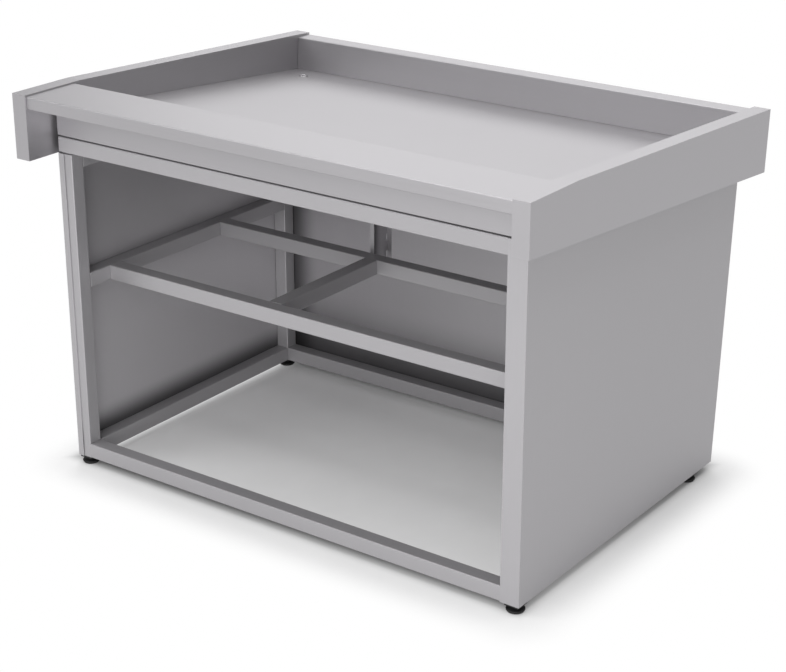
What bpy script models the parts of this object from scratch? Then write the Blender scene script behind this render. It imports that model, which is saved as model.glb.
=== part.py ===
"""Stainless fish display counter: square-tube base, sheet panels and a sloping display tray.

Metres, +Z up. The near side (-Y) is the open serving side, the far side (+Y) faces the customer.
The origin is on the floor under the middle of the counter.
"""
import math

import bmesh
import bpy

# Overall size
WIDTH = 1.500
DEPTH = 1.120
HEIGHT = 1.021

# Stock
TUBE = 0.040
TUBE_WALL = 0.002
SHEET = 0.0015
PANEL = 0.002
GAP = 0.0003

# Cheeks (the end boards of the tray)
CHEEK_T = 0.044
CHEEK_FLAT = 0.190
CHEEK_FALL = 0.049
LEFT_NEAR_BAND = 0.167
RIGHT_NEAR_BAND = 0.124
FAR_BAND = 0.161
FAR_LEAN = 0.055

# Nose (the serving ledge along the near side)
NOSE_SETBACK = 0.005
NOSE_DROP = 0.004
NOSE_DEPTH = 0.165
NOSE_LIP = 0.032
NOSE_RETURN = 0.020

# Tray
TRAY_NEAR_DEPTH = 0.063
TRAY_SLOPE = 0.0867
PAN_UPSTAND = 0.045
BOARD_T = 0.049
BOARD_SETBACK = 0.003
BOARD_DROP = 0.005
DRAIN_INSET = 0.090
DRAIN_FLANGE_R = 0.013
DRAIN_FLANGE_T = 0.0016
DRAIN_TAIL_R = 0.009
DRAIN_BORE_R = 0.0065
DRAIN_TAIL_L = 0.045
DRAIN_NUT_R = 0.016
DRAIN_NUT_T = 0.008

# Base
SIDE_INSET = 0.056
NEAR_OVERHANG = 0.090
FLOOR_CLEAR = 0.022
POST_DROP = 0.164
CAP_GAP = 0.003
CAP_INSET = 0.004
RAIL_END_T = 0.002
APRON_GAP = 0.003
APRON_RETURN = 0.025
REAR_POST_INSET = 0.158
BACK_INSET = 0.084
LEFT_LIP = 0.018
RIGHT_LIP = 0.0515
REAR_LIP = 0.020
MID_Z = 0.494
MID_FRONT_SETBACK = 0.112
MID_REAR_SETBACK = 0.549
DIVIDER_X = -0.130

# Hanger that ties the middle frame to the tray
HANGER_X = -0.1614
HANGER_W = 0.013
HANGER_D = 0.078
HANGER_DROP = 0.035
SLOT_W = 0.007
SLOT_H = 0.018
SLOT_PITCH = 0.048

# Fascia on the customer side
FASCIA_HEM = 0.012
BRACKET_W = 0.020
BRACKET_H = 0.020
BRACKET_RISE = 0.003
BRACKET_INSET_LEFT = 0.192
BRACKET_INSET_RIGHT = 0.322

# Tray bearers
BEARER_W = 0.030
BEARER_T = 0.003
BEARER_XS = (-0.430, 0.0, 0.430)

# Feet
FLANGE_T = 0.005
SPIGOT_L = 0.025
STEM_R = 0.005
STEM_PLAY = 0.0004
STEM_L = 0.036
PAD_R = 0.023
PAD_T = 0.007
NECK_R = 0.009

STEEL = (0.48, 0.48, 0.49, 1.0)
BLACK = (0.03, 0.03, 0.03, 1.0)

# Positions that follow from the sizes above
X_OUT = WIDTH / 2
X_IN = X_OUT - CHEEK_T
Y_NEAR = -DEPTH / 2
Y_FAR = DEPTH / 2
Y_KINK = Y_NEAR + CHEEK_FLAT
Z_FAR = HEIGHT - CHEEK_FALL
BASE_HALF = X_OUT - SIDE_INSET
BASE_NEAR = Y_NEAR + NEAR_OVERHANG
POST_TOP = HEIGHT - POST_DROP
POST_OUT = BASE_HALF - PANEL - GAP
POST_IN = POST_OUT - TUBE
POST_MID = POST_OUT - TUBE / 2
REAR_POST = Y_FAR - REAR_POST_INSET - TUBE
RAIL_TOP_Z = POST_TOP + CAP_GAP
NOSE_TOP = HEIGHT - NOSE_DROP
NOSE_Y = Y_NEAR + NOSE_SETBACK
Y_WALL = NOSE_Y + NOSE_DEPTH
TRAY_Z = NOSE_TOP - TRAY_NEAR_DEPTH
BOARD_TOP = Z_FAR - BOARD_DROP
BOARD_OUT = Y_FAR - BOARD_SETBACK
BOARD_IN = BOARD_OUT - BOARD_T
BACK_0 = Y_FAR - BACK_INSET


def tray_z(y):
    """Height of the upper face of the tray floor."""
    return TRAY_Z - TRAY_SLOPE * (y - Y_WALL)


def under_z(y):
    """Height of the lower face of the tray floor."""
    return tray_z(y) - SHEET


def back_y(z):
    """Outer face of the fascia, which leans outward towards the top."""
    return BACK_0 + FAR_LEAN * (z - FLOOR_CLEAR)


def board_y(z):
    """Tray-side face of the far board."""
    return BOARD_IN - FAR_LEAN * (BOARD_TOP - z)


def clear_scene():
    for obj in list(bpy.data.objects):
        bpy.data.objects.remove(obj, do_unlink=True)


def material(name, color):
    mat = bpy.data.materials.new(name)
    mat.use_nodes = True
    shader = mat.node_tree.nodes["Principled BSDF"]
    shader.inputs["Base Color"].default_value = color
    shader.inputs["Metallic"].default_value = 1.0 if color is STEEL else 0.0
    shader.inputs["Roughness"].default_value = 0.4
    return mat


def finish(bm, name, color=STEEL):
    bmesh.ops.recalc_face_normals(bm, faces=bm.faces[:])
    mesh = bpy.data.meshes.new(name)
    bm.to_mesh(mesh)
    bm.free()
    obj = bpy.data.objects.new(name, mesh)
    bpy.context.collection.objects.link(obj)
    mesh.materials.append(material(name + "_mat", color))
    return obj


def place(axis, p, s):
    """A point p of a section at station s along the axis."""
    if axis == "X":
        return (s, p[0], p[1])
    if axis == "Y":
        return (p[0], s, p[1])
    return (p[0], p[1], s)


def prism(name, points, axis, start, end, color=STEEL):
    """A flat outline pushed along one axis (X: y,z; Y: x,z; Z: x,y)."""
    bm = bmesh.new()
    low = [bm.verts.new(place(axis, p, start)) for p in points]
    high = [bm.verts.new(place(axis, p, end)) for p in points]
    bm.faces.new(low)
    bm.faces.new(high)
    for i in range(len(points)):
        j = (i + 1) % len(points)
        bm.faces.new((low[i], low[j], high[j], high[i]))
    return finish(bm, name, color)


def square(a0, a1, b0, b1):
    return [(a0, b0), (a1, b0), (a1, b1), (a0, b1)]


def tube(name, axis, a0, b0, start, end):
    """A square tube along one axis with its section's low corner at a0, b0."""
    bm = bmesh.new()
    outer = square(a0, a0 + TUBE, b0, b0 + TUBE)
    w = TUBE_WALL
    inner = square(a0 + w, a0 + TUBE - w, b0 + w, b0 + TUBE - w)
    rings = []
    for outline in (outer, inner):
        for s in (start + GAP, end - GAP):
            rings.append([bm.verts.new(place(axis, p, s)) for p in outline])
    for i in range(4):
        j = (i + 1) % 4
        for r, q in ((0, 1), (1, 3), (3, 2), (2, 0)):
            bm.faces.new((rings[r][i], rings[r][j], rings[q][j], rings[q][i]))
    return finish(bm, name)


def folded(path, t):
    """Outline of a sheet of thickness t folded along a path, the path being its outer face."""
    normals = []
    for (ax, ay), (bx, by) in zip(path, path[1:]):
        d = math.hypot(bx - ax, by - ay)
        normals.append((-(by - ay) / d, (bx - ax) / d))
    inner = []
    for i, (px, py) in enumerate(path):
        n0 = normals[max(i - 1, 0)]
        n1 = normals[min(i, len(normals) - 1)]
        k = t / (1 + n0[0] * n1[0] + n0[1] * n1[1])
        inner.append((px + k * (n0[0] + n1[0]), py + k * (n0[1] + n1[1])))
    return path + inner[::-1]


def lathe(name, profile, steps, center, color=STEEL, turn=0.0):
    """A profile of (radius, z) turned round a vertical axis at center; it starts and ends on it."""
    bm = bmesh.new()
    cx, cy = center
    rings = []
    for r, z in profile:
        ring = []
        for k in range(steps if r > 0 else 1):
            a = turn + 2 * math.pi * k / steps
            ring.append(bm.verts.new((cx + r * math.cos(a), cy + r * math.sin(a), z)))
        rings.append(ring)
    for low, high in zip(rings, rings[1:]):
        for k in range(steps):
            j = (k + 1) % steps
            corners = [low[k % len(low)], low[j % len(low)], high[j % len(high)], high[k % len(high)]]
            bm.faces.new(list(dict.fromkeys(corners)))
    return finish(bm, name, color)


def combine(obj, other, operation):
    """Add or take away a helper body, which stays hidden."""
    mod = obj.modifiers.new(other.name, "BOOLEAN")
    mod.operation = operation
    mod.solver = "EXACT"
    mod.object = other
    other.hide_render = True
    other.display_type = "WIRE"


def lean(obj):
    """Push the body outward with height, as the back of the counter leans."""
    for v in obj.data.vertices:
        v.co.y += FAR_LEAN * (v.co.z - FLOOR_CLEAR)


def origin_to(obj, point):
    for v in obj.data.vertices:
        v.co.x -= point[0]
        v.co.y -= point[1]
        v.co.z -= point[2]
    obj.location = point


def build_frame():
    near = BASE_NEAR
    inner_near = near + TUBE
    for side, x0 in (("left", -POST_OUT), ("right", POST_IN)):
        tube("post_near_" + side, "Z", x0, near, FLOOR_CLEAR - GAP, POST_TOP + GAP)
        tube("post_rear_" + side, "Z", x0, REAR_POST, FLOOR_CLEAR - GAP, POST_TOP + GAP)
        tube("bottom_rail_" + side, "Y", x0, FLOOR_CLEAR, inner_near, REAR_POST)
        tube("mid_rail_" + side, "Y", x0, MID_Z, inner_near, REAR_POST)
        tube("top_rail_" + side, "Y", x0, POST_TOP - TUBE, inner_near, REAR_POST)
        cap = square(x0 + CAP_INSET, x0 + TUBE - CAP_INSET, near + CAP_INSET, near + TUBE - CAP_INSET)
        prism("post_cap_" + side, cap, "Z", POST_TOP + GAP, RAIL_TOP_Z - GAP)
    tube("bottom_rail_front", "X", near, FLOOR_CLEAR, -POST_IN, POST_IN)
    tube("bottom_rail_rear", "X", REAR_POST, FLOOR_CLEAR, -POST_IN, POST_IN)
    tube("top_rail_rear", "X", REAR_POST, POST_TOP - TUBE, -POST_IN, POST_IN)
    tube("top_rail_front", "X", near, RAIL_TOP_Z, -BASE_HALF, BASE_HALF)
    play = TUBE_WALL + GAP
    plug = square(
        near + play, near + TUBE - play, RAIL_TOP_Z + play, RAIL_TOP_Z + TUBE - play
    )
    rail_end = BASE_HALF - GAP
    for side, sign in (("left", -1), ("right", 1)):
        prism("rail_end_" + side, plug, "X", sign * (rail_end - RAIL_END_T), sign * rail_end)
    front = near + MID_FRONT_SETBACK
    rear = near + MID_REAR_SETBACK
    tube("mid_rail_front", "X", front, MID_Z, -POST_IN, POST_IN)
    tube("mid_rail_rear", "X", rear, MID_Z, -POST_IN, POST_IN)
    tube("mid_rail_divider", "Y", DIVIDER_X - TUBE / 2, MID_Z, front + TUBE, rear)


def build_side_panel(side, sign, lip_w, lip_top):
    """One side sheet, with a lip round the near post as far up as lip_top and a lip at the back."""
    near = BASE_NEAR - GAP - PANEL
    step = BASE_NEAR + TUBE + GAP
    slope_0 = under_z(0.0) - GAP
    foot_y = back_y(0.0)
    top_z = (slope_0 - TRAY_SLOPE * foot_y) / (1 + TRAY_SLOPE * FAR_LEAN)
    outline = [
        (near, FLOOR_CLEAR),
        (BACK_0, FLOOR_CLEAR),
        (back_y(top_z), top_z),
        (step, slope_0 - TRAY_SLOPE * step),
        (step, RAIL_TOP_Z - GAP),
        (near, RAIL_TOP_Z - GAP),
    ]
    outer = sign * BASE_HALF
    inner = sign * (BASE_HALF - PANEL)
    lip_end = sign * (BASE_HALF - lip_w)
    panel = prism("side_panel_" + side, outline, "X", outer, inner)
    middle = (outer + inner) / 2
    flat = square(middle, lip_end, near, near + PANEL)
    lip = prism("side_panel_lip_" + side, flat, "Z", FLOOR_CLEAR, lip_top)
    combine(panel, lip, "UNION")
    rear = BACK_0 - PANEL - GAP
    flat = square(middle, sign * (BASE_HALF - REAR_LIP), rear - PANEL, rear)
    hem = PANEL + GAP
    rear_lip = prism("side_panel_rear_lip_" + side, flat, "Z", FLOOR_CLEAR + hem, POST_TOP - hem)
    lean(rear_lip)
    combine(panel, rear_lip, "UNION")


def build_back():
    """Upright back panel behind the rear posts, and the leaning fascia that hangs on it."""
    panel_y = REAR_POST + TUBE + GAP
    flat = square(-POST_OUT, POST_OUT, panel_y, panel_y + PANEL)
    prism("back_panel", flat, "Z", FLOOR_CLEAR, POST_TOP)
    low = back_y(FLOOR_CLEAR)
    high = back_y(POST_TOP)
    path = [
        (low - FASCIA_HEM, FLOOR_CLEAR),
        (low, FLOOR_CLEAR),
        (high, POST_TOP),
        (high - FASCIA_HEM, POST_TOP),
    ]
    prism("fascia", folded(path, PANEL), "X", -POST_OUT, POST_OUT)
    face = panel_y + PANEL + GAP
    spots = (("left", BRACKET_INSET_LEFT - POST_IN), ("right", POST_IN - BRACKET_INSET_RIGHT))
    levels = (("lower", FLOOR_CLEAR + BRACKET_RISE), ("upper", POST_TOP - TUBE))
    for level, z in levels:
        reach = back_y(z) - PANEL - GAP
        for side, x in spots:
            path = [(x + BRACKET_W, face), (x, face), (x, reach), (x - BRACKET_W, reach)]
            outline = folded_z(path)
            prism("panel_bracket_" + level + "_" + side, outline, "Z", z, z + BRACKET_H)


def build_hanger():
    """Upright channel behind the rear middle rail, open to the right, with two slots in its web."""
    near = BASE_NEAR + MID_REAR_SETBACK + TUBE + GAP
    far = near + HANGER_D
    edge = HANGER_X + HANGER_W
    path = [(edge, far), (HANGER_X, far), (HANGER_X, near), (edge, near)]
    low = MID_Z + TUBE - HANGER_DROP
    hanger = prism("hanger", folded(path, PANEL), "Z", low, under_z(far) - GAP)
    slot_far = far - PANEL - GAP
    for k in range(2):
        z = low + k * SLOT_PITCH + PANEL
        flat = square(slot_far - SLOT_W, slot_far, z, z + SLOT_H)
        slot = prism("hanger_slot_%d" % k, flat, "X", HANGER_X - PANEL, HANGER_X + 2 * PANEL)
        combine(hanger, slot, "DIFFERENCE")


def folded_z(path):
    """Outline of a Z-shaped bracket that stays between its two outer faces."""
    (ax, ay), (bx, by), (cx, cy), (dx, dy) = path
    t = PANEL
    return [
        (ax, ay), (bx, by), (cx, cy - t), (dx, dy - t),
        (dx, dy), (cx + t, cy), (bx + t, by + t), (ax, ay + t),
    ]


def build_cheek(side, sign, near_band, level_near):
    """One end board; level_near keeps its lower edge level as far as the upper edge is."""
    top = [(Y_NEAR, HEIGHT), (Y_KINK, HEIGHT), (Y_FAR, Z_FAR)]
    far_low = (Y_FAR - FAR_LEAN * FAR_BAND, Z_FAR - FAR_BAND)
    bottom = [far_low]
    if level_near:
        bottom.append((Y_KINK, HEIGHT - near_band))
    bottom.append((Y_NEAR, HEIGHT - near_band))
    cheek = prism("cheek_" + side, top + bottom, "X", sign * X_IN, sign * X_OUT)
    t = SHEET
    drop = CHEEK_T
    low_y = far_low[0] - t - FAR_LEAN * drop
    hollow = [
        (Y_NEAR + t, HEIGHT - t),
        (Y_KINK, HEIGHT - t),
        (Y_FAR - t, Z_FAR - t),
        (low_y, far_low[1] - drop),
        (Y_NEAR + t, HEIGHT - near_band - drop),
    ]
    core = prism("cheek_hollow_" + side, hollow, "X", sign * (X_IN + t), sign * (X_OUT - t))
    combine(cheek, core, "DIFFERENCE")
    near_0 = Y_WALL - 2 * t - 2 * GAP
    near_1 = Y_WALL - t
    floor_far = board_y(tray_z(BOARD_IN))
    far_0 = floor_far + t
    far_1 = BOARD_IN + 2 * t + 2 * GAP
    near_up = tray_z(Y_WALL) + PAN_UPSTAND + t
    far_up = tray_z(BOARD_IN) + PAN_UPSTAND + t
    low = far_low[1] - drop
    slot = [
        (near_0, low),
        (far_1, low),
        (far_1, far_up),
        (far_0, far_up),
        (far_0, tray_z(far_0) + GAP),
        (near_1, tray_z(near_1) + GAP),
        (near_1, near_up),
        (near_0, near_up),
    ]
    cutter = prism("cheek_slot_" + side, slot, "X", sign * (X_IN - t), sign * (X_IN + 2 * t))
    combine(cheek, cutter, "DIFFERENCE")


def build_tray():
    t = SHEET
    reach = X_IN - GAP
    nose = [
        (Y_WALL, tray_z(Y_WALL - t) + GAP),
        (Y_WALL, NOSE_TOP),
        (NOSE_Y, NOSE_TOP),
        (NOSE_Y, NOSE_TOP - NOSE_LIP),
        (BASE_NEAR + NOSE_RETURN, NOSE_TOP - NOSE_LIP),
    ]
    prism("nose", folded(nose, t), "X", -reach, reach)
    apron_top = NOSE_TOP - NOSE_LIP - GAP
    apron_low = RAIL_TOP_Z + TUBE + APRON_GAP
    apron = [
        (BASE_NEAR + APRON_RETURN, apron_top),
        (BASE_NEAR, apron_top),
        (BASE_NEAR, apron_low),
        (BASE_NEAR + APRON_RETURN, apron_low),
    ]
    prism("apron", folded(apron, t), "X", -BASE_HALF, BASE_HALF)

    floor_far = board_y(tray_z(BOARD_IN))
    skirt_low = Z_FAR - FAR_BAND
    board = [
        (BOARD_OUT - FAR_LEAN * (BOARD_TOP - skirt_low), skirt_low),
        (BOARD_OUT, BOARD_TOP),
        (BOARD_IN, BOARD_TOP),
        (floor_far, tray_z(floor_far) + GAP),
    ]
    prism("far_board", folded(board, t), "X", -reach, reach)

    near = Y_WALL - t - GAP
    far = floor_far + t + GAP
    lean_up = FAR_LEAN * PAN_UPSTAND
    near_up = tray_z(near) + PAN_UPSTAND
    far_up = tray_z(far) + PAN_UPSTAND
    outside = [
        (near - t, under_z(near - t)),
        (far + t, under_z(far + t)),
        (far + t + lean_up, far_up),
        (near - t, near_up),
    ]
    inside = [
        (near, tray_z(near)),
        (far, tray_z(far)),
        (far + 2 * lean_up, far_up + PAN_UPSTAND),
        (near, near_up + PAN_UPSTAND),
    ]
    half = X_IN + t + GAP
    pan = prism("tray_pan", outside, "X", -half - t, half + t)
    combine(pan, prism("tray_well", inside, "X", -half, half), "DIFFERENCE")

    spot = (DRAIN_INSET - X_IN, board_y(TRAY_Z) - DRAIN_INSET)
    top = tray_z(spot[1])
    slack = TRAY_SLOPE * DRAIN_FLANGE_R
    hole_r = DRAIN_TAIL_R + GAP
    hole = lathe(
        "drain_hole",
        [(0, top - DRAIN_TAIL_L), (hole_r, top - DRAIN_TAIL_L), (hole_r, top + slack), (0, top + slack)],
        48,
        spot,
    )
    combine(pan, hole, "DIFFERENCE")
    low = top - DRAIN_TAIL_L
    seat = top + slack + GAP
    crown = seat + DRAIN_FLANGE_T
    drain = lathe(
        "drain",
        [
            (0, low), (DRAIN_TAIL_R, low), (DRAIN_TAIL_R, seat), (DRAIN_FLANGE_R, seat),
            (DRAIN_FLANGE_R, crown), (0, crown),
        ],
        48,
        spot,
    )
    bore = lathe(
        "drain_bore",
        [(0, low - t), (DRAIN_BORE_R, low - t), (DRAIN_BORE_R, crown + t), (0, crown + t)],
        32,
        spot,
    )
    combine(drain, bore, "DIFFERENCE")
    nut_top = top - slack - t - TRAY_SLOPE * DRAIN_NUT_R - GAP
    nut_low = nut_top - DRAIN_NUT_T
    nut = lathe(
        "drain_nut", [(0, nut_low), (DRAIN_NUT_R, nut_low), (DRAIN_NUT_R, nut_top), (0, nut_top)], 6, spot
    )
    thread = lathe(
        "drain_nut_thread",
        [(0, nut_low - t), (hole_r, nut_low - t), (hole_r, nut_top + t), (0, nut_top + t)],
        48,
        spot,
    )
    combine(nut, thread, "DIFFERENCE")


def build_bearers():
    front_z = RAIL_TOP_Z + TUBE + GAP
    rear_z = POST_TOP + GAP
    y0 = BASE_NEAR + APRON_RETURN + GAP
    y1 = BASE_NEAR + TUBE
    y2 = REAR_POST
    y3 = REAR_POST + TUBE
    t = BEARER_T
    slope_0 = under_z(0.0) - GAP
    outline = [
        (y0, front_z),
        (y1, front_z),
        (y2, rear_z),
        (y3, rear_z),
        (y3, slope_0 - TRAY_SLOPE * y3),
        (y0, slope_0 - TRAY_SLOPE * y0),
    ]
    hollow = [
        (y0 - t, front_z + t),
        (y1, front_z + t),
        (y2, rear_z + t),
        (y3 + t, rear_z + t),
        (y3 + t, slope_0 - TRAY_SLOPE * (y3 + t) - t),
        (y0 - t, slope_0 - TRAY_SLOPE * (y0 - t) - t),
    ]
    for name, x in zip(("left", "middle", "right"), BEARER_XS):
        bearer = prism("tray_bearer_" + name, outline, "X", x - BEARER_W / 2, x + BEARER_W / 2)
        core = prism("bearer_hollow_" + name, hollow, "X", x - BEARER_W / 2 + t, x + BEARER_W)
        combine(bearer, core, "DIFFERENCE")


def build_feet():
    seat = FLOOR_CLEAR - GAP
    flange_low = seat - FLANGE_T
    shoulder = flange_low - GAP
    root = math.sqrt(2.0)
    outer = TUBE / 2 * root
    inner = (TUBE / 2 - TUBE_WALL - GAP) * root
    spigot_top = seat + SPIGOT_L
    bore_r = STEM_R + STEM_PLAY
    posts = []
    for side, x in (("left", -POST_MID), ("right", POST_MID)):
        posts.append(("near_" + side, (x, BASE_NEAR + TUBE / 2)))
        posts.append(("rear_" + side, (x, REAR_POST + TUBE / 2)))
    for name, spot in posts:
        profile = [(0, flange_low), (outer, flange_low), (outer, seat), (inner, seat)]
        profile += [(inner, spigot_top), (0, spigot_top)]
        insert = lathe("foot_insert_" + name, profile, 4, spot, BLACK, math.pi / 4)
        hole = [(0, flange_low - PAD_T), (bore_r, flange_low - PAD_T)]
        hole += [(bore_r, spigot_top + PAD_T), (0, spigot_top + PAD_T)]
        combine(insert, lathe("foot_thread_" + name, hole, 32, spot), "DIFFERENCE")
        bevel = PAD_T / 4
        profile = [
            (0, 0),
            (PAD_R - bevel, 0),
            (PAD_R, bevel),
            (PAD_R, PAD_T),
            (NECK_R, PAD_T + 2 * bevel),
            (NECK_R, shoulder),
            (STEM_R, shoulder),
            (STEM_R, shoulder + STEM_L),
            (0, shoulder + STEM_L),
        ]
        origin_to(lathe("foot_" + name, profile, 40, spot, BLACK), (spot[0], spot[1], 0.0))


def main():
    clear_scene()
    build_frame()
    build_side_panel("left", -1, LEFT_LIP, POST_TOP)
    build_side_panel("right", 1, RIGHT_LIP, RAIL_TOP_Z + TUBE)
    build_back()
    build_hanger()
    build_cheek("left", -1, LEFT_NEAR_BAND, True)
    build_cheek("right", 1, RIGHT_NEAR_BAND, False)
    build_tray()
    build_bearers()
    build_feet()


main()
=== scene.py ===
"""Stainless fish display counter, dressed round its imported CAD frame."""

import math

import bmesh
import bpy
from mathutils import Matrix, Vector


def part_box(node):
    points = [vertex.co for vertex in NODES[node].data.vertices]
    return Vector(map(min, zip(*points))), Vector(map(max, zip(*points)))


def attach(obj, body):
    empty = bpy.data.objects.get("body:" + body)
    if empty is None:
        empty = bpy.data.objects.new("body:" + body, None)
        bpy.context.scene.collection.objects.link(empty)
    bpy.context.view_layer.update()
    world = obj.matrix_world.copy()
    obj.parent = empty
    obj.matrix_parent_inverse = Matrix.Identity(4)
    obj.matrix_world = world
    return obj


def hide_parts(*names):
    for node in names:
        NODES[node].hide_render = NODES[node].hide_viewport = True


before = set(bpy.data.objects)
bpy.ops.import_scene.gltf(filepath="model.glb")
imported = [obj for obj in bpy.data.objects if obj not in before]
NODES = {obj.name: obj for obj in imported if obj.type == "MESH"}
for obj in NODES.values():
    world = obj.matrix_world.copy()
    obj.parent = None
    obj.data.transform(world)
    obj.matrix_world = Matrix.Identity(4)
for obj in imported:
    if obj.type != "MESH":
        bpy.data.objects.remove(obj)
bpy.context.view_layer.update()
SCENE = bpy.context.scene
COUNTER = "counter"

# Camera, fitted to the corners of the counter
CAM_POS = (2.656, -3.662, 2.193)
CAM_AZ = 35.96
CAM_EL = 21.93
CAM_ROLL = -0.04
CAM_LENS = 86.2
CAM_SENSOR = 36.0
CAM_CLIP = 100.0

# Stock of the real counter, metres
TUBE_R = 0.003
TUBE_R_IN = 0.001
BEND_R = 0.0012
FREE_EDGE = 0.0003
CUT_EDGE = 0.0004
SHEET_EDGE = 0.0006

# Fillets and bevels: steps, longest share of an edge, and the edge length, in sheet thicknesses, below
# which an edge is a sheet's free edge
ARC_STEPS = 5
BEVEL_STEPS = 2
FILLET_SHARE = 0.48
FREE_EDGE_SHARE = 1.5

# Points closer than this are one point, and turns with a smaller sine are straight
WELD = 0.00001
STRAIGHT = 0.001

# Angles in degrees: smooth shading below the first, bevels above the others
SMOOTH_BELOW = 40
CUT_ANGLE = 60
SHEET_ANGLE = 30

# Levelling feet and their inserts
PITCH = 0.0015
THREAD_DEPTH = 0.0008
STEPS_PER_PITCH = 8
STEM_R = 0.005
SAME_R = 1e-7
SOLE_H = 0.0026
RIB_TOP = 0.0078
RIB_DEPTH = 0.0006
PAD_RIBS = 20
FOOT_GAP = 0.0003
INSERT_BORE = 0.0054
INSERT_INSET = 0.0023
INSERT_EDGE = 0.0005
INSERT_LEAD_H, INSERT_LEAD_IN = 0.002, 0.001
BORE_INSET = 0.02
ROUND_STEPS = 64
FOOT_STEPS = 80

# Drain and its strainer
DRAIN_TAIL_R = 0.009
DRAIN_BORE = 0.0065
HUB_R = 0.0018
SLOT_R = 0.0052
STRAINER_LAP = 0.0002
STRAINER_DROP = 0.0016
STRAINER_T = 0.0008
STRAINER_STEPS = 48
SLOT_PERIOD = 8
SLOT_OPEN = (1, 2, 3, 4, 5)

# Steel: mean base colour, its cast, the grain's contrast and its noise scales across and along
STEEL_LEVEL = 0.43
CAST = (1.005, 0.983, 1.018)
GRAIN = 0.045
GRAIN_ACROSS, GRAIN_ALONG = 1500.0, 20.0
BAND_ACROSS, BAND_ALONG = 240.0, 2.5
CLOUD = (2.6, 2.6, 2.6)
GRAIN_SHARE, BAND_SHARE, CLOUD_SHARE = 0.5, 0.2, 0.3
STEEL_ROUGH = 0.50
ROUGH_SPREAD = 0.05
STEEL_BUMP = 0.05
TUBE_LEVEL, TUBE_METAL = 0.37, 0.5
SIDE_LEVEL, SIDE_METAL = 0.39, 0.6
BACK_LEVEL = 0.47
FITTING_LEVEL, FITTING_ROUGH = 0.62, 0.28

# Shading of inner faces by position, as in the photo: reach in metres, and share of the colour that is left
PAINTED_SHADE_HEIGHT = 0.20
PAINTED_SHADE_WIDTH = 0.09
PAINTED_SHADE_LEAST = 0.30
SIDE_PAINTED_SHADE_HEIGHT = 0.075
SIDE_PAINTED_SHADE_DROP = 0.50
SIDE_PAINTED_SHADE_TOP = 0.60
# A share above 1 is painted light: the side panels' inner faces are lighter between their painted shade at
# the bottom and top
SIDE_PAINTED_LIGHT = 1.35
HANGER_PAINTED_SHADE = 0.05
HANGER_PAINTED_SHADE_LEAST = 0.05

# Plastic: dark and light colour of the insert and body, and of the sole
BODY_DARK, BODY_LIGHT = (0.007, 0.007, 0.0075), (0.014, 0.014, 0.0145)
SOLE_DARK, SOLE_LIGHT = (0.014, 0.014, 0.014), (0.024, 0.024, 0.0235)
PLASTIC_FINE = (2600.0, 2600.0, 2600.0)
PLASTIC_CLOUD = (60.0, 60.0, 60.0)
PLASTIC_ROUGH = (0.52, 0.68)
PLASTIC_SPECULAR = 0.3
PLASTIC_BUMP = 0.15

# Every material: depth of its bump, and the range in which most of a noise lies
BUMP_DEPTH = 0.0002
NOISE_LOW, NOISE_HIGH = 0.25, 0.75

# Floor: its colour, its white share inside the outline as painted light (front, back, left), and how far its
# shadow fades to white
FLOOR_SIZE = 60.0
FLOOR_SIDES = 96
FLOOR_LEVEL = 0.85
FLOOR_MOTTLE = 0.014
FLOOR_NOISE = (9.0, 9.0, 9.0)
FLOOR_PAINTED_LIGHT_FRONT = 0.20
FLOOR_PAINTED_LIGHT_BACK = 0.06
FLOOR_PAINTED_LIGHT_LEFT = 0.35
FLOOR_FADE = 0.165

# Painted shadow: a dark band on the floor under the right and near edges
SHADOW_BAND_LEVEL = 0.40
SHADOW_BAND_WIDTH = 0.065
SHADOW_BAND_INSET = 0.045

# Painted light on the floor under the left side
PAINTED_LEAK_WIDTH = 0.09
PAINTED_LEAK_LEVEL = 0.55
PAINTED_LEAK_FALL = 3.0
PAINTED_LEAK_MARGIN = 0.08
PAINTED_LEAK_OUTER = 0.5

# Studio light: world strength, and each lamp's place, size and power
WORLD_LIGHT = 0.38
AIM = (0.0, 0.0, 0.6)
LAMPS = {
    "key": ((-3.2, -3.6, 3.4), (2.4, 2.4), 48.0),
    "overhead": ((0.0, 0.0, 5.0), (6.0, 6.0), 204.0),
    "back": ((-1.5, 4.2, 3.0), (6.0, 2.4), 66.0),
    "front": ((0.3, -3.0, 2.4), (2.0, 1.0), 28.0),
    "fill": ((1.6, -5.5, 0.5), (2.0, 1.0), 56.0),
    "fill_right": ((2.6, -3.6, 0.6), (2.0, 1.2), 44.0),
}


# Materials

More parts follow.
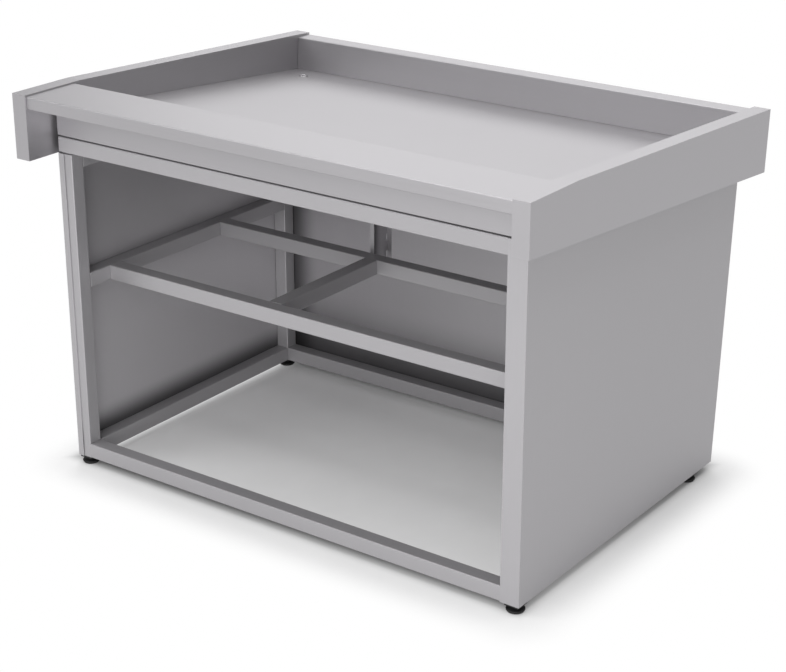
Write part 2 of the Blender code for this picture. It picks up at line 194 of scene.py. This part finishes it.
class Graph:
    """Small helper round one material's node tree."""

    def __init__(self, name):
        self.mat = bpy.data.materials.new(name)
        self.mat.use_nodes = True
        self.tree = self.mat.node_tree
        self.shader = self.tree.nodes["Principled BSDF"]

    def node(self, kind, **values):
        n = self.tree.nodes.new(kind)
        for key, value in values.items():
            setattr(n, key, value)
        return n

    def link(self, a, b):
        self.tree.links.new(a, b)

    def put(self, socket, value):
        """Set a socket to a number, or link it to another socket."""
        if isinstance(value, float):
            socket.default_value = value
        else:
            self.link(value, socket)

    def coords(self, scale):
        """Object coordinates, scaled on each axis."""
        where = self.node("ShaderNodeTexCoord")
        mapping = self.node("ShaderNodeMapping")
        mapping.inputs["Scale"].default_value = scale
        self.link(where.outputs["Object"], mapping.inputs["Vector"])
        return mapping.outputs["Vector"]

    def noise(self, scale, detail=2.0, roughness=0.5):
        n = self.node("ShaderNodeTexNoise")
        n.inputs["Scale"].default_value = 1.0
        n.inputs["Detail"].default_value = detail
        n.inputs["Roughness"].default_value = roughness
        self.link(self.coords(scale), n.inputs["Vector"])
        return n.outputs["Fac"]

    def ramp(self, value, low, high):
        """Spread the middle of a noise from low to high."""
        return self.spread(value, NOISE_LOW, NOISE_HIGH, low, high, "LINEAR")

    def spread(self, value, start, end, least, most, kind="SMOOTHSTEP"):
        """Go from least to most as the value goes from start to end."""
        n = self.node("ShaderNodeMapRange", interpolation_type=kind)
        places = ("Value", "From Min", "From Max", "To Min", "To Max")
        for place, given in zip(places, (value, start, end, least, most)):
            self.put(n.inputs[place], given)
        return n.outputs["Result"]

    def math(self, operation, a, b=0.0):
        n = self.node("ShaderNodeMath", operation=operation)
        for socket, value in zip(n.inputs, (a, b)):
            self.put(socket, value)
        return n.outputs[0]

    def parts(self, vector):
        """X, Y and Z of a vector socket."""
        n = self.node("ShaderNodeSeparateXYZ")
        self.link(vector, n.inputs[0])
        return n.outputs

    def tint(self, value, dark, light):
        """Base colour from dark to light by the value."""
        n = self.node("ShaderNodeMix", data_type="RGBA")
        n.inputs[6].default_value = (*dark, 1.0)
        n.inputs[7].default_value = (*light, 1.0)
        self.link(value, n.inputs[0])
        self.link(n.outputs[2], self.shader.inputs["Base Color"])
        return n.outputs[2]

    def paint_shading(self, color, walls, facing):
        """Darken the colour towards walls, as the photo's shading does.

        Each wall is an axis, a place on it, the reach of the painted shade, and the share of the colour at
        the wall and away from it; a share above 1 is painted light. A facing of 1 or -1 keeps the painted
        shade to the faces that look along X that way.
        """
        where = self.node("ShaderNodeTexCoord")
        spot = self.parts(where.outputs["Object"])
        share = 1.0
        for axis, place, reach, least, most in walls:
            away = self.math("ABSOLUTE", self.math("SUBTRACT", spot["XYZ".index(axis)], place))
            share = self.math("MULTIPLY", share, self.spread(away, 0.0, reach, least, most))
        if facing:
            normal = self.parts(where.outputs["Normal"])
            here = self.math("MAXIMUM", self.math("MULTIPLY", normal[0], facing))
            share = self.math("ADD", self.math("MULTIPLY", here, self.math("SUBTRACT", share, 1.0)), 1.0)
        n = self.node("ShaderNodeVectorMath", operation="SCALE")
        self.link(color, n.inputs[0])
        self.link(share, n.inputs["Scale"])
        self.link(n.outputs[0], self.shader.inputs["Base Color"])

    def bump(self, height, strength, distance):
        n = self.node("ShaderNodeBump")
        n.inputs["Strength"].default_value = strength
        n.inputs["Distance"].default_value = distance
        self.link(height, n.inputs["Height"])
        self.link(n.outputs["Normal"], self.shader.inputs["Normal"])


def brushed(name, axis, level, rough=STEEL_ROUGH, metal=1.0, walls=(), facing=0.0):
    """Satin stainless with its grain along one axis; level is the mean base colour."""
    g = Graph(name)
    grain = g.noise([GRAIN_ALONG if a == axis else GRAIN_ACROSS for a in "XYZ"], detail=3.0, roughness=0.6)
    streaks = g.noise([BAND_ALONG if a == axis else BAND_ACROSS for a in "XYZ"])
    cloud = g.noise(CLOUD, detail=3.0)
    mixed = g.math("ADD", g.math("MULTIPLY", grain, GRAIN_SHARE), g.math("MULTIPLY", streaks, BAND_SHARE))
    mixed = g.math("ADD", mixed, g.math("MULTIPLY", cloud, CLOUD_SHARE))
    dark = [level * c * (1.0 - GRAIN) for c in CAST]
    light = [level * c * (1.0 + GRAIN) for c in CAST]
    color = g.tint(g.ramp(mixed, 0.0, 1.0), dark, light)
    # Painted shade and painted light: the colour is scaled by position towards the walls
    if walls:
        g.paint_shading(color, walls, facing)
    g.link(g.ramp(mixed, rough - ROUGH_SPREAD, rough + ROUGH_SPREAD), g.shader.inputs["Roughness"])
    g.shader.inputs["Metallic"].default_value = metal
    g.bump(grain, STEEL_BUMP, BUMP_DEPTH)
    return g.mat


def moulded(name, dark, light):
    """Matt moulded plastic with a fine eroded texture."""
    g = Graph(name)
    fine = g.noise(PLASTIC_FINE)
    cloud = g.noise(PLASTIC_CLOUD, detail=3.0)
    g.tint(g.ramp(cloud, 0.0, 1.0), dark, light)
    g.link(g.ramp(cloud, *PLASTIC_ROUGH), g.shader.inputs["Roughness"])
    g.shader.inputs["Specular IOR Level"].default_value = PLASTIC_SPECULAR
    g.bump(fine, PLASTIC_BUMP, BUMP_DEPTH)
    return g.mat


steel = {axis: brushed("stainless_" + axis.lower(), axis, STEEL_LEVEL) for axis in "XYZ"}
drawn = {axis: brushed("drawn_tube_" + axis.lower(), axis, TUBE_LEVEL, metal=TUBE_METAL) for axis in "XYZ"}
bright = brushed("polished_fitting", "X", FITTING_LEVEL, FITTING_ROUGH)
black = moulded("black_plastic", BODY_DARK, BODY_LIGHT)
rubber = moulded("foot_pad", SOLE_DARK, SOLE_LIGHT)


def dress(obj, mat):
    """Give a piece one material."""
    obj.data.materials.clear()
    obj.data.materials.append(mat)


def long_axis(name):
    """Letter of the axis along which a node is longest."""
    low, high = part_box(name)
    size = [high[i] - low[i] for i in range(3)]
    return "XYZ"[size.index(max(size))]


# Pieces

def soften(obj, width, angle):
    """Break the edges that are sharper than the angle."""
    bevel = obj.modifiers.new("edges", "BEVEL")
    bevel.width = width
    bevel.segments = BEVEL_STEPS
    bevel.limit_method = "ANGLE"
    bevel.angle_limit = math.radians(angle)


def make(bm, name, mat, node, body, smooth=True):
    """Turn a bmesh into a piece on a body; it stands for a CAD node where one is given."""
    bmesh.ops.recalc_face_normals(bm, faces=bm.faces[:])
    mesh = bpy.data.meshes.new(name)
    bm.to_mesh(mesh)
    bm.free()
    if smooth:
        mesh.shade_smooth()
        mesh.set_sharp_from_angle(angle=math.radians(SMOOTH_BELOW))
    obj = bpy.data.objects.new(name, mesh)
    SCENE.collection.objects.link(obj)
    dress(obj, mat)
    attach(obj, body)
    if node:
        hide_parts(node)
    return obj


def end_outlines(name, axis):
    """Corners of a straight CAD piece's low end, across its axis: outer outline, then holes."""
    k = "XYZ".index(axis)
    across = [i for i in range(3) if i != k]
    bm = bmesh.new()
    bm.from_mesh(NODES[name].data)
    bmesh.ops.remove_doubles(bm, verts=bm.verts[:], dist=WELD)
    low = min(v.co[k] for v in bm.verts)
    ends = [f for f in bm.faces if all(abs(v.co[k] - low) < WELD for v in f.verts)]
    follow = {}
    for face in ends:
        for loop in face.loops:
            if not all(f in ends for f in loop.edge.link_faces):
                follow[loop.vert] = loop.link_loop_next.vert
    outlines = []
    while follow:
        v = next(iter(follow))
        corners = []
        while v in follow:
            corners.append(Vector((v.co[across[0]], v.co[across[1]])))
            v = follow.pop(v)
        outlines.append(counter_clockwise(straightened(corners)))
    bm.free()
    return sorted(outlines, key=area, reverse=True)


def area(points):
    """Area of an outline, negative where it runs clockwise."""
    return sum(a.x * b.y - b.x * a.y for a, b in zip(points, points[1:] + points[:1])) / 2


def counter_clockwise(points):
    return points if area(points) > 0 else points[::-1]


def straightened(points):
    """Leave out corners that lie on a straight edge."""
    kept = []
    for i, p in enumerate(points):
        a = p - points[i - 1]
        b = points[(i + 1) % len(points)] - p
        if abs(a.normalized().cross(b.normalized())) > STRAIGHT:
            kept.append(p)
    return kept


def turn_at(points, i):
    """Sine of the turn at a corner: positive where the outline is convex."""
    a = (points[i] - points[i - 1]).normalized()
    b = (points[(i + 1) % len(points)] - points[i]).normalized()
    return a.cross(b)


def fillet(points, radii):
    """Round the corners of a counter-clockwise outline."""
    out = []
    for i, corner in enumerate(points):
        a = points[i - 1] - corner
        b = points[(i + 1) % len(points)] - corner
        half = a.angle(b) / 2
        reach = min(radii[i] / math.tan(half), FILLET_SHARE * a.length, FILLET_SHARE * b.length)
        r = reach * math.tan(half)
        middle = corner + (a.normalized() + b.normalized()).normalized() * (r / math.sin(half))
        arm = corner + a.normalized() * reach - middle
        turn = math.copysign(math.pi - 2 * half, turn_at(points, i))
        for k in range(ARC_STEPS + 1):
            out.append(middle + Matrix.Rotation(turn * k / ARC_STEPS, 2) @ arm)
    return out


def along(axis, p, s):
    """The point of a cross-section at the place s on its axis."""
    spot = [p.x, p.y]
    spot.insert("XYZ".index(axis), s)
    return spot


def ring_wall(bm, low, high):
    """Faces between two rings with as many points."""
    for i in range(len(low)):
        j = (i + 1) % len(low)
        bm.faces.new((low[i], low[j], high[j], high[i]))


def straight_piece(name, axis, outlines, mat, suffix):
    """Push rounded outlines along the axis between the CAD node's own ends."""
    low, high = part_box(name)
    k = "XYZ".index(axis)
    bm = bmesh.new()
    ends = []
    for s in (low[k], high[k]):
        ends.append([[bm.verts.new(along(axis, p, s)) for p in line] for line in outlines])
    for bottom, top in zip(*ends):
        ring_wall(bm, bottom, top)
    for rings in ends:
        if len(rings) == 1:
            bm.faces.new(rings[0])
        else:
            ring_wall(bm, rings[0], rings[1])
    obj = make(bm, name + suffix, mat, name, COUNTER)
    soften(obj, CUT_EDGE, CUT_ANGLE)
    obj.modifiers.new("flat_faces", "WEIGHTED_NORMAL").keep_sharp = True


def tube(name, axis):
    """A square tube with rounded corners; its inner outline starts at the outer one's first corner."""
    outer, inner = end_outlines(name, axis)
    first = min(range(len(inner)), key=lambda i: (inner[i] - outer[0]).length)
    inner = inner[first:] + inner[:first]
    outlines = [fillet(outer, [TUBE_R] * 4), fillet(inner, [TUBE_R_IN] * 4)]
    straight_piece(name, axis, outlines, drawn[axis], "_tube")


def folded_sheet(name, axis):
    """A sheet with its folds rounded; free edges are only broken."""
    (points,) = end_outlines(name, axis)
    edges = [(points[i] - points[i - 1]).length for i in range(len(points))]
    thickness = min(edges)
    radii = []
    for i in range(len(points)):
        shortest = min(edges[i], edges[(i + 1) % len(points)])
        if shortest < FREE_EDGE_SHARE * thickness:
            radii.append(FREE_EDGE)
        elif turn_at(points, i) > 0:
            radii.append(BEND_R + thickness)
        else:
            radii.append(BEND_R)
    straight_piece(name, axis, [fillet(points, radii)], steel[axis], "_sheet")


def middle_of(low, high):
    """X and Y of a box's middle."""
    return (low[0] + high[0]) / 2, (low[1] + high[1]) / 2


def lathe(bm, profile, steps, center, wobble=None):
    """Turn a profile of (radius, z) round an upright axis; wobble changes a point's radius."""
    rings = []
    for r, z in profile:
        ring = []
        for k in range(steps if r > 0 else 1):
            a = 2 * math.pi * k / steps
            reach = wobble(r, z, a) if wobble else r
            spot = (center[0] + reach * math.cos(a), center[1] + reach * math.sin(a), z)
            ring.append(bm.verts.new(spot))
        rings.append(ring)
    for low, high in zip(rings, rings[1:]):
        for k in range(steps):
            j = (k + 1) % steps
            corners = [low[k % len(low)], low[j % len(low)], high[j % len(high)], high[k % len(high)]]
            bm.faces.new(list(dict.fromkeys(corners)))


def foot(spot):
    """Levelling foot: ribbed pad on a soft sole, neck, and a stem with a screw thread."""
    node = "foot_" + spot
    low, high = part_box(node)
    cx, cy = middle_of(low, high)
    pad_r = (high[0] - low[0]) / 2
    insert_low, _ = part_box("foot_insert_" + spot)
    shoulder = insert_low[2] - FOOT_GAP
    bm = bmesh.new()
    profile = [
        (0, 0), (pad_r - 0.0045, 0), (pad_r - 0.003, 0.0004), (pad_r - 0.0018, SOLE_H),
        (pad_r - 0.0026, SOLE_H + 0.0002), (0, SOLE_H + 0.0002),
    ]
    lathe(bm, profile, ROUND_STEPS, (cx, cy))
    make(bm, "foot_sole_" + spot, rubber, None, "levelling_foot_" + spot)

    def ribbed(r, z, a):
        if r < pad_r - 0.0007 or z > RIB_TOP - 0.0005:
            return r
        return r - RIB_DEPTH * (0.5 + 0.5 * math.cos(PAD_RIBS * a))

    bm = bmesh.new()
    base = SOLE_H + 0.0004
    profile = [
        (0, base), (pad_r - 0.0014, base), (pad_r - 0.0002, base + 0.0006), (pad_r, base + 0.0014),
        (pad_r, RIB_TOP - 0.0012), (pad_r - 0.0009, RIB_TOP - 0.0003), (pad_r - 0.002, RIB_TOP),
        (pad_r - 0.010, RIB_TOP + 0.0012), (0.0105, RIB_TOP + 0.0022), (0.0095, RIB_TOP + 0.003),
        (0.009, shoulder - 0.0004), (0.0086, shoulder), (0.0046, shoulder),
    ]
    flank = STEM_R - THREAD_DEPTH / 2
    steps = int((high[2] - shoulder - 0.001) / (PITCH / STEPS_PER_PITCH))
    for k in range(steps):
        profile.append((flank, shoulder + 0.0002 + k * PITCH / STEPS_PER_PITCH))
    profile += [(STEM_R - THREAD_DEPTH, high[2] - 0.0004), (STEM_R - 2 * THREAD_DEPTH, high[2]), (0, high[2])]

    def threaded(r, z, a):
        if abs(r - flank) > SAME_R:
            return ribbed(r, z, a)
        phase = ((z - shoulder) / PITCH - a / (2 * math.pi)) % 1.0
        return STEM_R - THREAD_DEPTH * abs(2 * phase - 1)

    lathe(bm, profile, FOOT_STEPS, (cx, cy), threaded)
    make(bm, "foot_body_" + spot, black, node, "levelling_foot_" + spot)


def foot_insert(spot):
    """Square plug with a rounded flange under the post end and a bored spigot inside it."""
    node = "foot_insert_" + spot
    low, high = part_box(node)
    post_low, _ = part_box("post_" + spot)
    cx, cy = middle_of(low, high)
    seat = post_low[2] - FOOT_GAP
    half = (high[0] - low[0]) / 2
    spigot = half - INSERT_INSET

    def square_ring(h, r, z):
        corners = [Vector((cx + sx * h, cy + sy * h)) for sx, sy in ((-1, -1), (1, -1), (1, 1), (-1, 1))]
        return [bm.verts.new((p.x, p.y, z)) for p in fillet(corners, [r] * 4)]

    def round_ring(r, z):
        """As many points as a square ring has, each quarter a little short so that none coincide."""
        ring = []
        for k in range(4 * (ARC_STEPS + 1)):
            corner, step = divmod(k, ARC_STEPS + 1)
            quarter = BORE_INSET + step / ARC_STEPS * (1 - 2 * BORE_INSET)
            a = math.pi + math.pi / 2 * (corner + quarter)
            ring.append(bm.verts.new((cx + r * math.cos(a), cy + r * math.sin(a), z)))
        return ring

    bm = bmesh.new()
    edge = INSERT_EDGE
    rings = [
        round_ring(INSERT_BORE, low[2]),
        square_ring(half - edge, TUBE_R - edge, low[2]),
        square_ring(half, TUBE_R, low[2] + edge),
        square_ring(half, TUBE_R, seat - edge),
        square_ring(half - edge, TUBE_R - edge, seat),
        square_ring(spigot, TUBE_R_IN, seat),
        square_ring(spigot, TUBE_R_IN, high[2] - INSERT_LEAD_H),
        square_ring(spigot - INSERT_LEAD_IN, TUBE_R_IN, high[2]),
        round_ring(INSERT_BORE, high[2]),
    ]
    for a, b in zip(rings, rings[1:] + rings[:1]):
        ring_wall(bm, a, b)
    make(bm, "foot_plug_" + spot, black, node, COUNTER)


def drain():
    """Flanged tray drain with a slotted strainer."""
    low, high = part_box("drain")
    cx, cy = middle_of(low, high)
    top = high[2]
    rim = (high[0] - low[0]) / 2
    bm = bmesh.new()
    profile = [
        (DRAIN_BORE, low[2]), (DRAIN_TAIL_R, low[2]), (DRAIN_TAIL_R, top - 0.0017),
        (rim - 0.0004, top - 0.0017), (rim, top - 0.0012), (rim - 0.0005, top - 0.0004),
        (rim - 0.0018, top), (rim - 0.0032, top - 0.0001), (rim - 0.0048, top - 0.0008),
        (DRAIN_BORE, top - 0.0012), (DRAIN_BORE, low[2]),
    ]
    lathe(bm, profile, ROUND_STEPS, (cx, cy))
    bmesh.ops.remove_doubles(bm, verts=bm.verts[:], dist=WELD)
    make(bm, "drain_flange", bright, "drain", COUNTER)
    bm = bmesh.new()
    rings = []
    for r in (0.0, HUB_R, SLOT_R, DRAIN_BORE + STRAINER_LAP):
        ring = []
        for k in range(STRAINER_STEPS if r > 0 else 1):
            a = 2 * math.pi * k / STRAINER_STEPS
            ring.append(bm.verts.new((cx + r * math.cos(a), cy + r * math.sin(a), top - STRAINER_DROP)))
        rings.append(ring)
    for a, b in zip(rings, rings[1:]):
        for k in range(STRAINER_STEPS):
            if a is rings[1] and k % SLOT_PERIOD in SLOT_OPEN:
                continue
            j = (k + 1) % STRAINER_STEPS
            corners = [a[k % len(a)], b[k], b[j], a[j % len(a)]]
            bm.faces.new(list(dict.fromkeys(corners)))
    strainer = make(bm, "drain_strainer", bright, None, COUNTER, False)
    strainer.modifiers.new("sheet", "SOLIDIFY").thickness = STRAINER_T


TUBES = [n for n in NODES if n.startswith(("post_near", "post_rear")) or "_rail_" in n]
FOLDED = ["nose", "apron", "far_board", "fascia"]
SPOTS = [n[len("foot_insert_"):] for n in NODES if n.startswith("foot_insert_")]

for name in TUBES:
    tube(name, long_axis(name))
for name in FOLDED:
    folded_sheet(name, "X")
for spot in SPOTS:
    foot(spot)
    foot_insert(spot)
drain()

# Painted shade: the back panel darkens towards the bottom rail and the rear posts, the side panels' inner
# faces towards the bottom and top rails with painted light between, and the hanger's inner face towards its
# front
back_walls = [
    ("Z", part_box("bottom_rail_rear")[1][2], PAINTED_SHADE_HEIGHT, PAINTED_SHADE_LEAST, 1.0),
    ("X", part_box("post_rear_left")[1][0], PAINTED_SHADE_WIDTH, PAINTED_SHADE_LEAST, 1.0),
    ("X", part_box("post_rear_right")[0][0], PAINTED_SHADE_WIDTH, PAINTED_SHADE_LEAST, 1.0),
]
side_walls = [
    ("Z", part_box("bottom_rail_left")[1][2], SIDE_PAINTED_SHADE_HEIGHT, PAINTED_SHADE_LEAST, SIDE_PAINTED_LIGHT),
    ("Z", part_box("top_rail_left")[0][2], SIDE_PAINTED_SHADE_DROP, SIDE_PAINTED_SHADE_TOP, 1.0),
]
hanger_walls = [("Y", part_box("hanger")[0][1], HANGER_PAINTED_SHADE, HANGER_PAINTED_SHADE_LEAST, 1.0)]
shade_painted_looks = {
    "back_panel": brushed("stainless_back", "Z", BACK_LEVEL, walls=back_walls),
    "hanger": brushed("stainless_hanger", "Z", STEEL_LEVEL, walls=hanger_walls, facing=1.0),
}
for name, facing in (("side_panel_left", 1.0), ("side_panel_right", -1.0)):
    look = {"metal": SIDE_METAL, "walls": side_walls, "facing": facing}
    shade_painted_looks[name] = brushed("stainless_" + name, "Z", SIDE_LEVEL, **look)
for name, obj in NODES.items():
    dress(obj, shade_painted_looks.get(name) or steel[long_axis(name)])
    soften(obj, SHEET_EDGE, SHEET_ANGLE)


# Floor and light

def floor_material():
    """Pale floor; away from the counter it brightens to white, so its shadow fades out."""
    near_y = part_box("post_near_right")[0][1]
    far_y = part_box("fascia")[0][1]
    half_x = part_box("side_panel_right")[1][0]
    half_y = (far_y - near_y) / 2
    g = Graph("floor")
    out = g.tree.nodes["Material Output"]
    g.tree.nodes.remove(g.shader)
    diffuse = g.node("ShaderNodeBsdfDiffuse")
    white = g.node("ShaderNodeEmission")

    # Distance outside the counter's outline
    x, y, _ = g.parts(g.node("ShaderNodeTexCoord").outputs["Object"])
    out_x = g.math("MAXIMUM", g.math("SUBTRACT", g.math("ABSOLUTE", x), half_x))
    from_y = g.math("ABSOLUTE", g.math("SUBTRACT", y, near_y + half_y))
    out_y = g.math("MAXIMUM", g.math("SUBTRACT", from_y, half_y))
    far = g.math("SQRT", g.math("ADD", g.math("POWER", out_x, 2.0), g.math("POWER", out_y, 2.0)))

    # Colour: a painted shadow, a dark band inside the right and near edges
    edge = g.math("MAXIMUM", g.math("SUBTRACT", x, half_x), g.math("SUBTRACT", near_y, y))
    edge = g.math("ABSOLUTE", g.math("ADD", edge, SHADOW_BAND_INSET))
    painted_shadow = g.spread(g.math("MAXIMUM", edge, far), 0.0, SHADOW_BAND_WIDTH, SHADOW_BAND_LEVEL, 1.0)
    cloud = g.noise(FLOOR_NOISE, detail=4.0)
    mottle = g.ramp(cloud, FLOOR_LEVEL - FLOOR_MOTTLE, FLOOR_LEVEL + FLOOR_MOTTLE)
    g.link(g.math("MULTIPLY", painted_shadow, mottle), diffuse.inputs["Color"])

    # Painted light under the left edge, falling off inwards and, more slowly, outwards
    inward = g.math("ADD", x, half_x)
    painted_leak = g.math("MAXIMUM", inward, g.math("MULTIPLY", inward, -PAINTED_LEAK_OUTER))
    painted_leak = g.math("MAXIMUM", painted_leak, g.math("SUBTRACT", from_y, half_y - PAINTED_LEAK_MARGIN))
    painted_leak = g.math("POWER", g.spread(painted_leak, 0.0, PAINTED_LEAK_WIDTH, 1.0, 0.0, "LINEAR"), PAINTED_LEAK_FALL)

    # Share of white: painted light inside the outline, lighter to the front and right, rising to all of it
    # outside
    painted_white = g.spread(y, near_y, far_y, FLOOR_PAINTED_LIGHT_FRONT, FLOOR_PAINTED_LIGHT_BACK)
    painted_white = g.math("MULTIPLY", painted_white, g.spread(x, -half_x, half_x, FLOOR_PAINTED_LIGHT_LEFT, 1.0))
    painted_white = g.math("MAXIMUM", g.math("MULTIPLY", painted_white, painted_shadow), g.math("MULTIPLY", painted_leak, PAINTED_LEAK_LEVEL))
    fade = g.spread(far, 0.0, FLOOR_FADE, painted_white, 1.0, "SMOOTHERSTEP")

    # Only what is seen is whitened; the light on the counter comes from the plain floor
    path = g.node("ShaderNodeLightPath")
    seen = g.math("MAXIMUM", path.outputs["Is Camera Ray"], path.outputs["Is Glossy Ray"])
    seen = g.math("MAXIMUM", seen, path.outputs["Is Transmission Ray"])
    white.inputs["Strength"].default_value = 1.0
    mix = g.node("ShaderNodeMixShader")
    g.link(g.math("MULTIPLY", fade, seen), mix.inputs[0])
    g.link(diffuse.outputs[0], mix.inputs[1])
    g.link(white.outputs[0], mix.inputs[2])
    g.link(mix.outputs[0], out.inputs["Surface"])
    return g.mat


def floor_plane():
    """Wide round floor under the feet."""
    bm = bmesh.new()
    bmesh.ops.create_circle(bm, cap_ends=True, segments=FLOOR_SIDES, radius=FLOOR_SIZE)
    mesh = bpy.data.meshes.new("floor")
    bm.to_mesh(mesh)
    bm.free()
    obj = bpy.data.objects.new("floor", mesh)
    SCENE.collection.objects.link(obj)
    dress(obj, floor_material())


def world_light():
    """Even white light from all round."""
    world = bpy.data.worlds.new("studio")
    SCENE.world = world
    world.use_nodes = True
    back = world.node_tree.nodes["Background"]
    back.inputs["Color"].default_value = (1, 1, 1, 1)
    back.inputs["Strength"].default_value = WORLD_LIGHT


def softbox(name, place, size, power):
    """Rectangular area lamp turned to the counter."""
    light = bpy.data.lights.new(name, "AREA")
    light.shape = "RECTANGLE"
    light.size, light.size_y = size
    light.energy = power
    obj = bpy.data.objects.new(name, light)
    obj.location = place
    aim = Vector(AIM) - Vector(place)
    obj.rotation_euler = aim.to_track_quat("-Z", "Y").to_euler()
    SCENE.collection.objects.link(obj)


def camera():
    """Camera at the photo's place; azimuth 0 looks along +Y."""
    az, el, roll = (math.radians(a) for a in (CAM_AZ, CAM_EL, CAM_ROLL))
    forward = Vector((-math.sin(az) * math.cos(el), math.cos(az) * math.cos(el), -math.sin(el)))
    right = Vector((math.cos(az), math.sin(az), 0.0))
    up = right.cross(forward)
    across = right * math.cos(roll) + up * math.sin(roll)
    upward = up * math.cos(roll) - right * math.sin(roll)
    axes = Matrix((across, upward, -forward)).transposed()
    data = bpy.data.cameras.new("camera")
    data.sensor_width = CAM_SENSOR
    data.lens = CAM_LENS
    data.clip_end = CAM_CLIP
    obj = bpy.data.objects.new("camera", data)
    obj.matrix_world = Matrix.Translation(CAM_POS) @ axes.to_4x4()
    SCENE.collection.objects.link(obj)
    SCENE.camera = obj


floor_plane()
world_light()
for name, (place, size, power) in LAMPS.items():
    softbox(name, place, size, power)
camera()
SCENE.view_settings.view_transform = "Standard"
